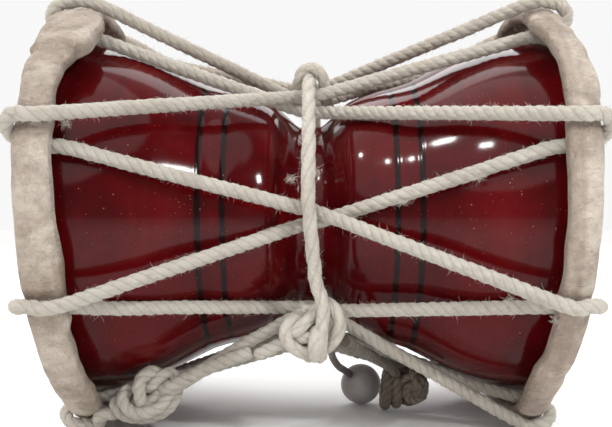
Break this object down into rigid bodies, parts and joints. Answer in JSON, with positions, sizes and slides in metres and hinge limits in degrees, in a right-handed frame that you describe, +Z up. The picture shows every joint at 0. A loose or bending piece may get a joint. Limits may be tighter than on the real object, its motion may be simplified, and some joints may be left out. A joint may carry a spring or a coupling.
{
  "type": "damaru hand drum",
  "caption": "Small hourglass hand drum: turned red-lacquered wooden body, hide heads rolled over hoops, zigzag cotton rope lacing, knotted waist cord and corded strikers, lying on its hoops",
  "frame": {"origin": "on the surface that the drum lies on, under the middle of its waist", "axes": "+X along the drum's axis from one head to the other, -Y the side with the knots, +Z up"},
  "size_m": [0.155, 0.1305, 0.1295],
  "materials": {
    "lacquered_wood": "deep glossy maroon-red lacquer over turned wood, two dark turned bands on each bowl, fine dust",
    "hide": "dry cream hide, mottled and wrinkled, tan stains",
    "cotton_rope": "off-white twisted cotton rope, fuzzy, slightly dirty",
    "grey_strap": "dark grey-brown flat thong",
    "grey_bead": "smooth matt grey ball",
    "brown_rope": "coarse brown-grey rope, dirty"
  },
  "bodies": {
    "root": {"wooden_body": "lacquered_wood", "left_drumhead": "hide", "right_drumhead": "hide", "outer_lacing_rope": "cotton_rope", "inner_lacing_rope": "cotton_rope", "waist_cord": "cotton_rope", "striker_strap": "grey_strap", "striker_bead": "grey_bead", "striker_rope": "brown_rope", "striker_knot": "brown_rope"}
  },
  "joints": []
}
